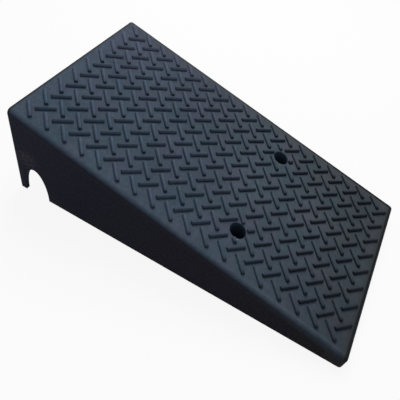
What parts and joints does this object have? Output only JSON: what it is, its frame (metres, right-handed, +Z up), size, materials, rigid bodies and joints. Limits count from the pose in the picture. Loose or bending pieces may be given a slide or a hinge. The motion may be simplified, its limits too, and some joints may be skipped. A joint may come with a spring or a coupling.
{
  "type": "rubber threshold ramp",
  "caption": "Moulded rubber wedge ramp with a raised bar tread, an arched cable channel under its high end and bolt-down holes, for wheels to cross a step or kerb.",
  "frame": {"origin": "middle of the base, on the floor", "axes": "+X down the ramp from the high end to the low end, +Y across it, +Z up"},
  "size_m": [0.54, 0.3, 0.1616],
  "materials": {
    "tread_rubber": "moulded satin",
    "core_rubber": "moulded matte",
    "bush_steel": "zinc plated",
    "washer_steel": "zinc plated"
  },
  "bodies": {
    "root": {"tread_pad": "tread_rubber", "ramp_core": "core_rubber", "near_bush": "bush_steel", "far_bush": "bush_steel", "near_load_washer": "washer_steel", "far_load_washer": "washer_steel"}
  },
  "joints": []
}
